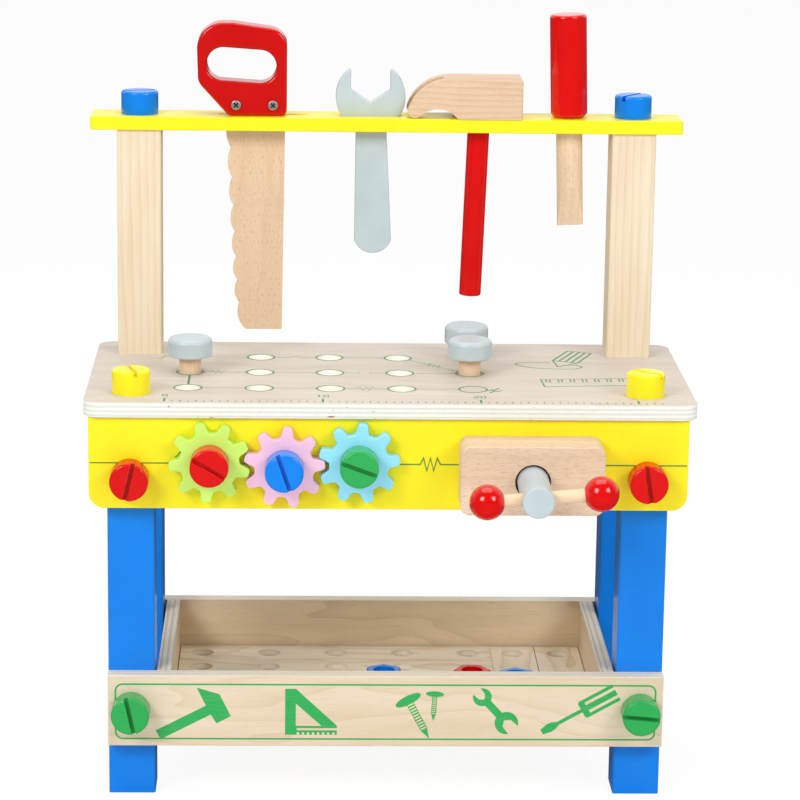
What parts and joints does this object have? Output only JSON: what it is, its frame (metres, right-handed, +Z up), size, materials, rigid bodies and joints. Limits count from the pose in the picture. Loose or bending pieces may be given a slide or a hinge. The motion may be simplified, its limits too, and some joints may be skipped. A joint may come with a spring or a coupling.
{
  "type": "toy workbench",
  "caption": "Wooden toy workbench with a tool rack, meshing gears, a screw vise, pegs in a drilled tabletop, loose tools and a parts tray.",
  "frame": {"origin": "on the floor, under the middle of the whole bench's box, vise handle and rear bolts included", "axes": "+X to the right as a child stands at the bench, +Y to the back, +Z up"},
  "size_m": [0.392, 0.2736, 0.4934],
  "materials": {
    "top_plywood": "sealed pale plywood with a green printed design",
    "pale_plywood": "sealed plywood",
    "pine": "planed, clear-sealed pine",
    "beech": "sanded, clear-sealed beech",
    "yellow_paint": "gloss paint on wood",
    "blue_paint": "gloss paint on wood",
    "green_paint": "gloss paint on wood",
    "red_paint": "gloss paint on wood",
    "grey_paint": "satin paint on wood",
    "lime_paint": "gloss paint on plywood",
    "pink_paint": "gloss paint on plywood",
    "sky_paint": "gloss paint on plywood",
    "steel": "plain steel"
  },
  "bodies": {
    "root": {"tabletop": "top_plywood", "front_apron": "yellow_paint", "rear_apron": "yellow_paint", "front_left_leg": "blue_paint", "front_right_leg": "blue_paint", "rear_left_leg": "blue_paint", "rear_right_leg": "blue_paint", "front_tray_panel": "pale_plywood", "rear_tray_panel": "pale_plywood", "tray_left_side": "pale_plywood", "tray_right_side": "pale_plywood", "tray_base": "pale_plywood", "tray_dowels": "pine", "left_post": "pine", "right_post": "pine", "post_dowels": "pine", "tool_rack": "yellow_paint", "vise_fixed_jaw": "beech"},
    "tabletop_bolt_left": {"tabletop_bolt_left": "yellow_paint"},
    "rack_bolt_left": {"rack_bolt_left": "blue_paint"},
    "apron_bolt_left": {"apron_bolt_left": "red_paint"},
    "tray_bolt_left": {"tray_bolt_left": "green_paint"},
    "rear_apron_bolt_left": {"rear_apron_bolt_left": "red_paint"},
    "rear_tray_bolt_left": {"rear_tray_bolt_left": "green_paint"},
    "tabletop_bolt_right": {"tabletop_bolt_right": "yellow_paint"},
    "rack_bolt_right": {"rack_bolt_right": "blue_paint"},
    "apron_bolt_right": {"apron_bolt_right": "red_paint"},
    "tray_bolt_right": {"tray_bolt_right": "green_paint"},
    "rear_apron_bolt_right": {"rear_apron_bolt_right": "red_paint"},
    "rear_tray_bolt_right": {"rear_tray_bolt_right": "green_paint"},
    "gear_bolt_left": {"gear_bolt_left": "red_paint"},
    "gear_bolt_middle": {"gear_bolt_middle": "blue_paint"},
    "gear_bolt_right": {"gear_bolt_right": "green_paint"},
    "gear_left": {"gear_left": "lime_paint"},
    "gear_middle": {"gear_middle": "pink_paint"},
    "gear_right": {"gear_right": "sky_paint"},
    "vise_jaw": {"vise_jaw": "beech", "vise_guides": "beech", "vise_garter_pin": "steel"},
    "vise_screw": {"vise_screw": "grey_paint"},
    "vise_handle": {"vise_handle_rod": "beech", "vise_handle_balls": "red_paint"},
    "peg_left": {"peg_left": "grey_paint"},
    "peg_right_front": {"peg_right_front": "grey_paint"},
    "peg_right_back": {"peg_right_back": "grey_paint"},
    "saw": {"saw_handle": "red_paint", "saw_blade": "beech", "saw_screws": "steel"},
    "wrench": {"wrench": "grey_paint"},
    "hammer": {"hammer_head": "beech", "hammer_handle": "red_paint"},
    "screwdriver": {"screwdriver_handle": "red_paint", "screwdriver_shaft": "beech"},
    "long_strip_back": {"long_strip_back": "pale_plywood"},
    "long_strip_front": {"long_strip_front": "pale_plywood"},
    "short_strip_left": {"short_strip_left": "pale_plywood"},
    "short_strip_right": {"short_strip_right": "pale_plywood"},
    "blue_nut_middle": {"blue_nut_middle": "blue_paint"},
    "red_nut": {"red_nut": "red_paint"},
    "blue_nut_right": {"blue_nut_right": "blue_paint"}
  },
  "joints": [
    {"name": "tabletop_bolt_left_turn", "type": "hinge", "parent": "root", "child": "tabletop_bolt_left", "pos_m": [-0.164, -0.0307, 0.264], "axis": [0, 0, 1], "continuous": true},
    {"name": "rack_bolt_left_turn", "type": "hinge", "parent": "root", "child": "rack_bolt_left", "pos_m": [-0.164, 0.0963, 0.4245], "axis": [0, 0, 1], "continuous": true},
    {"name": "apron_bolt_left_turn", "type": "hinge", "parent": "root", "child": "apron_bolt_left", "pos_m": [-0.164, -0.0567, 0.2147], "axis": [0, -1, 0], "continuous": true},
    {"name": "tray_bolt_left_turn", "type": "hinge", "parent": "root", "child": "tray_bolt_left", "pos_m": [-0.164, -0.0567, 0.0602], "axis": [0, -1, 0], "continuous": true},
    {"name": "rear_apron_bolt_left_turn", "type": "hinge", "parent": "root", "child": "rear_apron_bolt_left", "pos_m": [-0.164, 0.1223, 0.2147], "axis": [0, 1, 0], "continuous": true},
    {"name": "rear_tray_bolt_left_turn", "type": "hinge", "parent": "root", "child": "rear_tray_bolt_left", "pos_m": [-0.164, 0.1223, 0.0602], "axis": [0, 1, 0], "continuous": true},
    {"name": "tabletop_bolt_right_turn", "type": "hinge", "parent": "root", "child": "tabletop_bolt_right", "pos_m": [0.164, -0.0307, 0.264], "axis": [0, 0, 1], "continuous": true},
    {"name": "rack_bolt_right_turn", "type": "hinge", "parent": "root", "child": "rack_bolt_right", "pos_m": [0.164, 0.0963, 0.4245], "axis": [0, 0, 1], "continuous": true},
    {"name": "apron_bolt_right_turn", "type": "hinge", "parent": "root", "child": "apron_bolt_right", "pos_m": [0.164, -0.0567, 0.2147], "axis": [0, -1, 0], "continuous": true},
    {"name": "tray_bolt_right_turn", "type": "hinge", "parent": "root", "child": "tray_bolt_right", "pos_m": [0.164, -0.0567, 0.0602], "axis": [0, -1, 0], "continuous": true},
    {"name": "rear_apron_bolt_right_turn", "type": "hinge", "parent": "root", "child": "rear_apron_bolt_right", "pos_m": [0.164, 0.1223, 0.2147], "axis": [0, 1, 0], "continuous": true},
    {"name": "rear_tray_bolt_right_turn", "type": "hinge", "parent": "root", "child": "rear_tray_bolt_right", "pos_m": [0.164, 0.1223, 0.0602], "axis": [0, 1, 0], "continuous": true},
    {"name": "gear_bolt_left_turn", "type": "hinge", "parent": "root", "child": "gear_bolt_left", "pos_m": [-0.1134, -0.0655, 0.2262], "axis": [0, -1, 0], "continuous": true},
    {"name": "gear_bolt_middle_turn", "type": "hinge", "parent": "root", "child": "gear_bolt_middle", "pos_m": [-0.0663, -0.0655, 0.2232], "axis": [0, -1, 0], "continuous": true},
    {"name": "gear_bolt_right_turn", "type": "hinge", "parent": "root", "child": "gear_bolt_right", "pos_m": [-0.0192, -0.0655, 0.2262], "axis": [0, -1, 0], "continuous": true},
    {"name": "gear_left_spin", "type": "hinge", "parent": "root", "child": "gear_left", "pos_m": [-0.1134, -0.0611, 0.2262], "axis": [0, -1, 0], "continuous": true},
    {"name": "gear_middle_spin", "type": "hinge", "parent": "root", "child": "gear_middle", "pos_m": [-0.0663, -0.0611, 0.2232], "axis": [0, -1, 0], "continuous": true},
    {"name": "gear_right_spin", "type": "hinge", "parent": "root", "child": "gear_right", "pos_m": [-0.0192, -0.0611, 0.2262], "axis": [0, -1, 0], "continuous": true},
    {"name": "vise_jaw_slide", "type": "slide", "parent": "root", "child": "vise_jaw", "axis": [0, -1, 0], "range_m": [0, 0.0301]},
    {"name": "vise_screw_turn", "type": "hinge", "parent": "vise_jaw", "child": "vise_screw", "pos_m": [0.0892, -0.1, 0.2206], "axis": [0, -1, 0], "range_deg": [0, 1800]},
    {"name": "vise_handle_slide", "type": "slide", "parent": "vise_screw", "child": "vise_handle", "axis": [0.9968, 0, 0.0802], "range_m": [-0.018, 0.0096]},
    {"name": "peg_left_slide", "type": "slide", "parent": "root", "child": "peg_left", "axis": [0, 0, 1], "range_m": [-0.0108, 0.026]},
    {"name": "peg_right_front_slide", "type": "slide", "parent": "root", "child": "peg_right_front", "axis": [0, 0, 1], "range_m": [-0.0108, 0.026]},
    {"name": "peg_right_back_slide", "type": "slide", "parent": "root", "child": "peg_right_back", "axis": [0, 0, 1], "range_m": [-0.0108, 0.026]},
    {"name": "saw_lift", "type": "slide", "parent": "root", "child": "saw", "axis": [0, 0, 1], "range_m": [0, 0.148]},
    {"name": "wrench_lift", "type": "slide", "parent": "root", "child": "wrench", "axis": [0, 0, 1], "range_m": [0, 0.095]},
    {"name": "hammer_lift", "type": "slide", "parent": "root", "child": "hammer", "axis": [0.0332, 0, 0.9995], "range_m": [0, 0.124]},
    {"name": "screwdriver_lift", "type": "slide", "parent": "root", "child": "screwdriver", "axis": [-0.0332, 0, 0.9995], "range_m": [0, 0.076]},
    {"name": "long_strip_back_lift", "type": "slide", "parent": "root", "child": "long_strip_back", "axis": [0, 0, 1], "range_m": [0, 0.045]},
    {"name": "long_strip_front_lift", "type": "slide", "parent": "root", "child": "long_strip_front", "axis": [0, 0, 1], "range_m": [0, 0.045]},
    {"name": "short_strip_left_lift", "type": "slide", "parent": "root", "child": "short_strip_left", "axis": [0, 0, 1], "range_m": [0, 0.045]},
    {"name": "short_strip_right_lift", "type": "slide", "parent": "root", "child": "short_strip_right", "axis": [0, 0, 1], "range_m": [0, 0.045]},
    {"name": "blue_nut_middle_lift", "type": "slide", "parent": "root", "child": "blue_nut_middle", "axis": [0, 0, 1], "range_m": [0, 0.045]},
    {"name": "red_nut_lift", "type": "slide", "parent": "root", "child": "red_nut", "axis": [0, 0, 1], "range_m": [0, 0.045]},
    {"name": "blue_nut_right_lift", "type": "slide", "parent": "short_strip_left", "child": "blue_nut_right", "axis": [0, 0, 1], "range_m": [0, 0.045]}
  ],
  "couplings": [
    {"joint": "gear_left_spin", "follows": "gear_middle_spin", "ratio": -1},
    {"joint": "gear_right_spin", "follows": "gear_middle_spin", "ratio": -1},
    {"joint": "vise_jaw_slide", "follows": "vise_screw_turn", "m_per_rad": 0.00095493}
  ]
}
